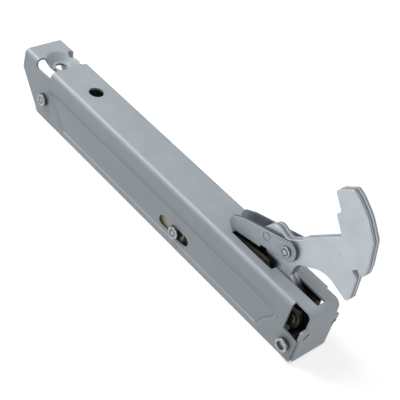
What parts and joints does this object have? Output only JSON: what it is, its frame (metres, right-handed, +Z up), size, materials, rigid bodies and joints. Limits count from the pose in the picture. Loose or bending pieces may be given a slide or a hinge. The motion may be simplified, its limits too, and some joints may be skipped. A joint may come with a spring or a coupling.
{
  "type": "oven door hinge",
  "caption": "Spring-loaded oven door hinge: a folded sheet channel with a hooked swinging arm and a small lock clip.",
  "frame": {"origin": "centre of the footprint of the whole hinge, at the height of the channel's lower flange edges", "axes": "+X along the channel from the rear end to the arm's end, +Y across it to the far side, +Z up out of the channel's top face"},
  "size_m": [0.2268, 0.0292, 0.0923],
  "materials": {
    "galvanised_sheet": "satin galvanised",
    "arm_steel": "satin zinc plated, punched",
    "clip_steel": "satin zinc plated, folded",
    "zinc_plated_steel": "bright zinc plated, turned",
    "yellow_chromate_steel": "yellow chromate",
    "bronze_collar": "sintered bronze",
    "spring_wire": "oiled spring steel"
  },
  "bodies": {
    "frame": {"housing": "galvanised_sheet", "pivot_pin": "zinc_plated_steel", "pivot_spacer_near": "bronze_collar", "pivot_spacer_far": "bronze_collar", "anchor_pin": "zinc_plated_steel", "anchor_spacer_near": "zinc_plated_steel", "anchor_spacer_far": "zinc_plated_steel", "spring_plug_rear": "zinc_plated_steel", "spring": "spring_wire"},
    "slider": {"slide_pin": "zinc_plated_steel", "spring_yoke": "yellow_chromate_steel", "spring_plug_front": "zinc_plated_steel", "slide_washer_near": "zinc_plated_steel", "slide_washer_far": "zinc_plated_steel", "link_washer_near": "zinc_plated_steel", "link_washer_far": "zinc_plated_steel"},
    "link": {"link_plate_near": "yellow_chromate_steel", "link_plate_far": "yellow_chromate_steel", "link_spacer": "zinc_plated_steel"},
    "arm": {"arm_plate_near": "arm_steel", "arm_plate_far": "arm_steel", "crank_pin": "zinc_plated_steel", "crank_spacer_near": "bronze_collar", "crank_spacer_far": "bronze_collar", "clip_rivet": "zinc_plated_steel"},
    "clip": {"lock_clip": "clip_steel"}
  },
  "joints": [
    {"name": "arm_swing", "type": "hinge", "parent": "frame", "child": "arm", "pos_m": [0.09702, 0, 0.0074], "axis": [0, 1, 0], "range_deg": [0, 24], "stiffness_Nm_per_rad": 1, "springref_deg": -68.75, "deforming": ["spring"]},
    {"name": "clip_flip", "type": "hinge", "parent": "arm", "child": "clip", "pos_m": [0.07612, 0, 0.0432], "axis": [0, 1, 0], "range_deg": [0, 138]},
    {"name": "slider_travel", "type": "slide", "parent": "frame", "child": "slider", "axis": [1, 0, 0], "range_m": [0, 0.0048]},
    {"name": "link_turn", "type": "hinge", "parent": "slider", "child": "link", "pos_m": [0.01852, 0, 0.0083], "axis": [0, 1, 0], "range_deg": [-0.74, 0]}
  ],
  "couplings": [
    {"joint": "slider_travel", "follows": "arm_swing", "m_per_rad": 0.0113},
    {"joint": "link_turn", "follows": "arm_swing", "ratio": -0.0305}
  ]
}
